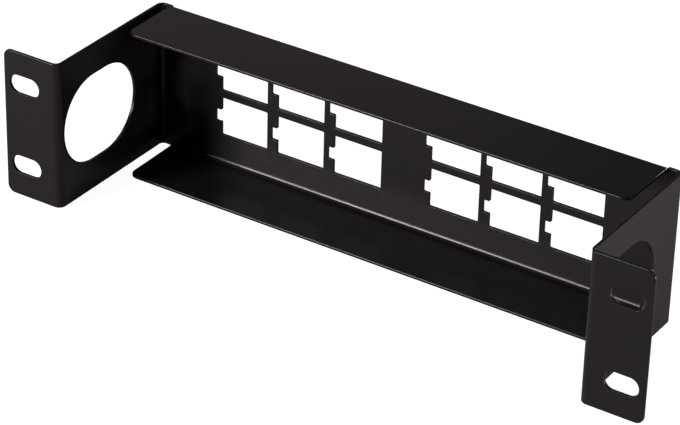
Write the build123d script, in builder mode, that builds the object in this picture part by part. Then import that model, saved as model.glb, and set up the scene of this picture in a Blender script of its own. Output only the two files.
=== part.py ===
from build123d import *
import os

# Keystone patch panel for a 10-inch rack, folded from one steel sheet. Millimetres.
# X runs across the rack, the ears face -Y, +Z is up. The origin is under the middle
# of the panel, level with the underside of its lower lip.

# Sheet and bends
sheet = 1.2
bend_inside = 1.6

# Overall form
panel_width = 254.0
panel_depth = 61.0
side_height = 56.5
ear_width = 22.25
ear_corner = 3.0

# Lips folded forward from the back plate's long edges
lip_reach = 27.7
lip_proud = 0.5
lip_corner = 3.5
slit_width = 4.4

# Rack slots in the ears, their centres set in from the panel's ends
slot_inset = 8.75
slot_spacing_z = 31.75
slot_length = 12.6
slot_width = 7.0

# Oblong cable holes in the side plates
cable_hole_length = 40.6
cable_hole_height = 33.5
cable_hole_setback = 23.5

# Keystone ports, lying on their side in two rows, with the latch notch on the left
port_width = 19.6
port_height = 14.9
port_corner = 0.4
port_columns_per_group = 3
column_gap = 4.3
group_gap = 19.8
row_gap = 3.0
notch_depth = 2.5
notch_height = 4.8

# Worked out from the sizes above
bend_outside = bend_inside + sheet
front = -panel_depth / 2
back = panel_depth / 2
middle_height = lip_proud + side_height / 2
overall_height = side_height + 2 * lip_proud
body_width = panel_width - 2 * ear_width
slot_spacing_x = panel_width - 2 * slot_inset
side_inner = body_width / 2 - sheet
lip_half_length = side_inner - slit_width
lip_front = back - lip_reach
port_pitch = port_width + column_gap
row_pitch = port_height + row_gap
group_pitch = group_gap + port_width + (port_columns_per_group - 1) * port_pitch


# One keystone port as it is punched: a rectangle with the latch notch in its left side.
with BuildSketch() as port:
    Rectangle(port_width, port_height)
    with Locations((-port_width / 2, 0)):
        Rectangle(notch_depth, notch_height, align=(Align.MAX, Align.CENTER))
    fillet(port.vertices(), radius=port_corner)


with BuildPart() as folded_panel:
    # Ears, side plates and back corners: one strip, folded four times, seen from above.
    with BuildSketch(Plane.XY.offset(lip_proud)) as strip_section:
        with BuildLine():
            FilletPolyline(
                (-panel_width / 2, front),
                (-side_inner, front),
                (-side_inner, back - sheet),
                (side_inner, back - sheet),
                (side_inner, front),
                (panel_width / 2, front),
                radius=[bend_outside, bend_inside, bend_inside, bend_outside],
            )
            offset(amount=sheet, side=Side.LEFT)
        make_face()
    extrude(amount=side_height)

    # Round the ears' free corners.
    ear_ends = folded_panel.edges().filter_by(Axis.Y).group_by(Axis.X)
    fillet(ear_ends[0] + ear_ends[-1], radius=ear_corner)

    # Open the strip's back where the plate with the two lips takes over.
    with BuildSketch(Plane.XY.offset(lip_proud)):
        with Locations((0, back)):
            Rectangle(2 * lip_half_length, sheet, align=(Align.CENTER, Align.MAX))
    extrude(amount=side_height, mode=Mode.SUBTRACT)

    # Back plate with its upper and lower lips: a channel, seen from its end.
    with BuildSketch(Plane.YZ) as channel_section:
        with BuildLine():
            FilletPolyline(
                (lip_front, sheet),
                (back - sheet, sheet),
                (back - sheet, overall_height - sheet),
                (lip_front, overall_height - sheet),
                radius=[bend_inside, bend_inside],
            )
            offset(amount=sheet, side=Side.RIGHT)
        make_face()
    extrude(amount=lip_half_length, both=True)

    # Round the lips' front corners.
    lip_ends = folded_panel.edges().filter_by(Axis.Z).filter_by_position(
        Axis.Y, lip_front - sheet / 2, lip_front + sheet / 2
    )
    fillet(lip_ends, radius=lip_corner)

    # Two rows of ports, in a left and a right group.
    with BuildSketch(Plane.XZ.offset(-back)) as ports:
        with Locations((0, middle_height)):
            with GridLocations(group_pitch, 0, 2, 1):
                with GridLocations(port_pitch, row_pitch, port_columns_per_group, 2):
                    add(port.sketch)
    extrude(amount=sheet, mode=Mode.SUBTRACT)

    # Oblong rack slots through both ears.
    with BuildSketch(Plane.XZ.offset(-front)) as rack_slots:
        with Locations((0, middle_height)):
            with GridLocations(slot_spacing_x, slot_spacing_z, 2, 2):
                SlotOverall(slot_length, slot_width)
    extrude(amount=-sheet, mode=Mode.SUBTRACT)

    # Cable holes through both side plates.
    with BuildSketch(Plane.YZ) as cable_holes:
        with Locations((front + cable_hole_setback, middle_height)):
            SlotOverall(cable_hole_length, cable_hole_height)
    extrude(amount=body_width / 2, both=True, mode=Mode.SUBTRACT)

folded_panel.part.label = "folded_panel"


os.makedirs("parts", exist_ok=True)
export_step(folded_panel.part, "parts/folded_panel.step")
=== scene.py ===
import math

import bmesh
import bpy
from mathutils import Matrix, Vector


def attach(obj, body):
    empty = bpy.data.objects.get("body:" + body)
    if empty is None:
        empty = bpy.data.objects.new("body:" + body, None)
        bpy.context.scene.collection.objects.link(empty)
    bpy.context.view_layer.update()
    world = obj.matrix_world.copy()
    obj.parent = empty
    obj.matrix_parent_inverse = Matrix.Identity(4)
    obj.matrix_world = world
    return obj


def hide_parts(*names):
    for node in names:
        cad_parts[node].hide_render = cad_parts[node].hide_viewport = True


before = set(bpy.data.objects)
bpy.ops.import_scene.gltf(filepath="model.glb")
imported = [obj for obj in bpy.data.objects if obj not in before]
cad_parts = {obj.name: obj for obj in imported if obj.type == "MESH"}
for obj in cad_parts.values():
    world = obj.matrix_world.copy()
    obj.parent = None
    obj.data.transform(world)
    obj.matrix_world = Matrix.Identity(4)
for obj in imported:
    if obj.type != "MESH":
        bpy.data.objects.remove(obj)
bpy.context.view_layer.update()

mm = 0.001


# Small helpers

def hexToLinear(text):
    # "#rrggbb" as it looks on screen, to the linear colour that a shader wants
    shares = [int(text[i:i + 2], 16) / 255 for i in (1, 3, 5)]
    linear = [v / 12.92 if v <= 0.04045 else ((v + 0.055) / 1.055) ** 2.4 for v in shares]
    return (*linear, 1.0)


def addNode(tree, kind, settings=None, links=None):
    # settings: properties, or input sockets by name or number; links: input socket -> output socket
    node = tree.nodes.new(kind)
    for name, value in (settings or {}).items():
        if isinstance(name, int) or name in node.inputs:
            node.inputs[name].default_value = value
        else:
            setattr(node, name, value)
    for name, source in (links or {}).items():
        tree.links.new(source, node.inputs[name])
    return node


def newMaterial(name):
    material = bpy.data.materials.new(name)
    material.use_nodes = True
    material.node_tree.nodes.clear()
    return material, material.node_tree


def perMetre(sizeInMm):
    # a noise's scale for lumps of this size, with object coordinates in metres
    return 1000.0 / sizeInMm


# Camera: a long lens about a metre away, above the panel and to its right

cameraView = {
    "place": (0.47327, -0.75150, 0.53930),
    "lookAt": (-0.00744, 0.0, 0.01778),
    "rollDegrees": 1.58,
    "lens": 161.46,             # mm
    "sensorWidth": 36.0,        # mm
    "clipStart": 0.05,
}


def makeCamera():
    camera = bpy.data.objects.new("camera", bpy.data.cameras.new("camera"))
    bpy.context.scene.collection.objects.link(camera)
    camera.data.lens = cameraView["lens"]
    camera.data.sensor_width = cameraView["sensorWidth"]
    camera.data.clip_start = cameraView["clipStart"]
    place = Vector(cameraView["place"])
    aim = Vector(cameraView["lookAt"]) - place
    facing = aim.to_track_quat("-Z", "Y").to_matrix().to_4x4()
    roll = Matrix.Rotation(math.radians(cameraView["rollDegrees"]), 4, "Z")
    camera.matrix_world = Matrix.Translation(place) @ facing @ roll
    bpy.context.scene.camera = camera


makeCamera()
print("camera placed")


# Folded sheet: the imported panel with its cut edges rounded, as a powder coat leaves them

panelDetail = {
    "edgeRadius": 0.34 * mm,        # on the sheet's outline, chosen for its gleam
    "openingRadius": 0.15 * mm,     # on the punched openings, chosen for the bars' look
    "openingsFrom": 6.0 * mm,       # the openings lie between these two heights,
    "openingsTo": 51.0 * mm,        # and the outline's corners outside them
    "edgeSteps": 4,
    "weldWithin": 0.001 * mm,
    "flatAngle": 0.6,               # degrees, below which neighbouring faces are one flat
    "cutAngle": 50.0,               # degrees, above which an edge is a cut edge
    "flatWeight": 50,               # how far the flats rule the shading
    "stepAt": 99.15 * mm,           # across from the middle: where the lips' bends end
    "stepReach": 0.6 * mm,          # the steps there are finer than the rounding and stay sharp
    "stepBehind": 27.0 * mm,
}


def onFineStep(edge):
    # at the lips' ends their bends stand half a millimetre proud of the back corner's edges
    return all(
        abs(abs(vertex.co.x) - panelDetail["stepAt"]) < panelDetail["stepReach"]
        and vertex.co.y > panelDetail["stepBehind"]
        for vertex in edge.verts
    )


def onOpening(edge):
    # rack slots, cable holes and ports
    return all(
        panelDetail["openingsFrom"] < vertex.co.z < panelDetail["openingsTo"]
        for vertex in edge.verts
    )


def roundCutEdges(work, radius, wanted):
    cutEdges = [
        edge for edge in work.edges
        if len(edge.link_faces) == 2
        and edge.calc_face_angle() > math.radians(panelDetail["cutAngle"])
        and wanted(edge)
    ]
    bmesh.ops.bevel(
        work,
        geom=cutEdges,
        offset=radius,
        segments=panelDetail["edgeSteps"],
        profile=0.5,
        affect="EDGES",
        clamp_overlap=False,
    )


def softenedPanel(node):
    mesh = node.data.copy()
    mesh.name = "folded_sheet"
    work = bmesh.new()
    work.from_mesh(mesh)
    bmesh.ops.remove_doubles(work, verts=work.verts, dist=panelDetail["weldWithin"])
    bmesh.ops.dissolve_limit(
        work,
        angle_limit=math.radians(panelDetail["flatAngle"]),
        verts=work.verts,
        edges=work.edges,
    )
    roundCutEdges(work, panelDetail["openingRadius"], onOpening)
    roundCutEdges(work, panelDetail["edgeRadius"],
                  lambda edge: not onOpening(edge) and not onFineStep(edge))
    bmesh.ops.triangulate(work, faces=[face for face in work.faces if len(face.verts) > 4])
    for face in work.faces:
        face.smooth = True
    work.to_mesh(mesh)
    work.free()
    mesh.materials.clear()
    panel = bpy.data.objects.new("folded_sheet", mesh)
    bpy.context.scene.collection.objects.link(panel)
    weighted = panel.modifiers.new("flat faces stay flat", "WEIGHTED_NORMAL")
    weighted.weight = panelDetail["flatWeight"]
    weighted.keep_sharp = False
    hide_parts("folded_panel")
    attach(panel, "root")
    return panel


# Black powder coat, sprayed and baked on steel: satin, with a fine orange peel that
# breaks up reflections a little, and a slightly uneven gloss.

powderCoat = {
    "colour": "#1e1a1c",
    "colourThin": "#211d1f",
    "specularTint": "#fff6fb",
    "ior": 1.5,
    "specular": 0.30,           # matched to the panel's gleams, 0.5 is a plain coat's
    "roughLow": 0.21,
    "roughHigh": 0.33,
    "peelSize": 1.8,            # mm between the lumps of the orange peel
    "peelHeight": 0.010,        # mm
    "grainSize": 0.35,          # mm, the finer texture of the baked powder
    "grainHeight": 0.0020,      # mm
    "patchSize": 45.0,          # mm, over which the gloss drifts
}


def powderCoatedSteel():
    material, tree = newMaterial("satin black powder coat on steel")
    place = addNode(tree, "ShaderNodeTexCoord").outputs["Object"]
    patch = addNode(tree, "ShaderNodeTexNoise",
                    {"Scale": perMetre(powderCoat["patchSize"]), "Detail": 2.0},
                    {"Vector": place})
    colour = addNode(tree, "ShaderNodeMix",
                     {"data_type": "RGBA",
                      6: hexToLinear(powderCoat["colour"]),
                      7: hexToLinear(powderCoat["colourThin"])},
                     {0: patch.outputs["Fac"]})
    rough = addNode(tree, "ShaderNodeMapRange",
                    {"To Min": powderCoat["roughLow"], "To Max": powderCoat["roughHigh"]},
                    {"Value": patch.outputs["Fac"]})
    peel = addNode(tree, "ShaderNodeTexNoise",
                   {"Scale": perMetre(powderCoat["peelSize"]), "Detail": 1.0},
                   {"Vector": place})
    grain = addNode(tree, "ShaderNodeTexNoise",
                    {"Scale": perMetre(powderCoat["grainSize"]), "Detail": 2.0},
                    {"Vector": place})
    peelBump = addNode(tree, "ShaderNodeBump",
                       {"Strength": 1.0, "Distance": powderCoat["peelHeight"] * mm},
                       {"Height": peel.outputs["Fac"]})
    grainBump = addNode(tree, "ShaderNodeBump",
                        {"Strength": 1.0, "Distance": powderCoat["grainHeight"] * mm},
                        {"Height": grain.outputs["Fac"], "Normal": peelBump.outputs["Normal"]})
    shader = addNode(tree, "ShaderNodeBsdfPrincipled",
                     {"IOR": powderCoat["ior"],
                      "Specular IOR Level": powderCoat["specular"],
                      "Specular Tint": hexToLinear(powderCoat["specularTint"])},
                     {"Base Color": colour.outputs[2],
                      "Roughness": rough.outputs["Result"],
                      "Normal": grainBump.outputs["Normal"]})
    addNode(tree, "ShaderNodeOutputMaterial", None, {"Surface": shader.outputs["BSDF"]})
    return material


panel = softenedPanel(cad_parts["folded_panel"])
panel.data.materials.append(powderCoatedSteel())
print("panel finished:", len(panel.data.polygons), "faces")


# Floor and light: a matt white board under the panel, a white backdrop and five soft lamps

studio = {
    "floorSize": 12.0,
    "floorBelow": 0.05 * mm,    # a hair under the lip, so that the two share no plane
    "floorColour": "#b2b2b2",
    "floorRough": 0.9,
    "seenGlow": 0.95,           # added to the floor where the camera sees it
    "mirroredGlow": 0.06,       # added to the floor where a gleam shows it
    "worldColour": "#ffffff",
    "worldStrength": 0.016,     # the room's light on everything
    "worldSeen": 1.0,           # added where the camera sees the backdrop
    "worldMirrored": 0.02,      # added where a gleam shows it
    "lampsAimAt": (0.0, 0.0, 0.03),
}

lamps = {
    "front lamp": {"place": (-0.78, -1.43, 0.39), "size": (0.40, 0.46),
                   "power": 30.5, "colour": "#ffffff"},
    "overhead lamp": {"place": (-0.60, -0.10, 1.25), "size": (0.80, 0.80),
                      "power": 1.6, "colour": "#ffffff"},
    "right lamp": {"place": (0.36, 0.08, 0.035), "size": (0.12, 0.05),
                   "power": 0.80, "colour": "#fff6f0"},
    "back lamp": {"place": (-1.75, 1.90, 1.05), "size": (1.50, 0.80),
                  "power": 1.28, "colour": "#ffecf1"},
    "rear fill": {"place": (0.08, 1.60, 0.32), "size": (0.60, 0.30),
                  "power": 9.0, "colour": "#ffffff"},
}


def glowOf(tree, always, seen, mirrored):
    # how bright a background is: to everything, more to the camera, and more in gleams
    path = addNode(tree, "ShaderNodeLightPath").outputs
    direct = addNode(tree, "ShaderNodeMath", {"operation": "MAXIMUM"},
                     {0: path["Is Camera Ray"], 1: path["Is Transmission Ray"]})
    inGleams = addNode(tree, "ShaderNodeMath",
                       {"operation": "MULTIPLY_ADD", 1: mirrored, 2: always},
                       {0: path["Is Glossy Ray"]})
    glow = addNode(tree, "ShaderNodeMath", {"operation": "MULTIPLY_ADD", 1: seen},
                   {0: direct.outputs[0], 2: inGleams.outputs[0]})
    return glow.outputs[0]


def mattWhiteSweep():
    # painted board: dead matt, so it shows the panel's shadow and no gleam of its own
    material, tree = newMaterial("matt white painted board")
    glow = glowOf(tree, 0.0, studio["seenGlow"], studio["mirroredGlow"])
    shader = addNode(tree, "ShaderNodeBsdfPrincipled",
                     {"Base Color": hexToLinear(studio["floorColour"]),
                      "Roughness": studio["floorRough"],
                      "Specular IOR Level": 0.0,
                      "Emission Color": hexToLinear("#ffffff")},
                     {"Emission Strength": glow})
    addNode(tree, "ShaderNodeOutputMaterial", None, {"Surface": shader.outputs["BSDF"]})
    return material


def makeStudio():
    half = studio["floorSize"] / 2
    mesh = bpy.data.meshes.new("floor")
    drop = -studio["floorBelow"]
    corners = [(-half, -half, drop), (half, -half, drop), (half, half, drop), (-half, half, drop)]
    mesh.from_pydata(corners, [], [(0, 1, 2, 3)])
    mesh.materials.append(mattWhiteSweep())
    floor = bpy.data.objects.new("floor", mesh)
    bpy.context.scene.collection.objects.link(floor)

    world = bpy.data.worlds.new("studio")
    world.use_nodes = True
    tree = world.node_tree
    tree.nodes.clear()
    background = addNode(tree, "ShaderNodeBackground",
                         {"Color": hexToLinear(studio["worldColour"])},
                         {"Strength": glowOf(tree, studio["worldStrength"],
                                             studio["worldSeen"], studio["worldMirrored"])})
    addNode(tree, "ShaderNodeOutputWorld", None, {"Surface": background.outputs[0]})
    bpy.context.scene.world = world

    for name, lamp in lamps.items():
        light = bpy.data.lights.new(name, "AREA")
        light.shape = "RECTANGLE"
        light.size, light.size_y = lamp["size"]
        light.energy = lamp["power"]
        light.color = hexToLinear(lamp["colour"])[:3]
        holder = bpy.data.objects.new(name, light)
        bpy.context.scene.collection.objects.link(holder)
        holder.location = lamp["place"]
        holder.visible_camera = False
        towards = Vector(studio["lampsAimAt"]) - Vector(lamp["place"])
        holder.rotation_euler = towards.to_track_quat("-Z", "Y").to_euler()


makeStudio()
bpy.context.scene.view_settings.view_transform = "Standard"
print("floor and lamps placed")
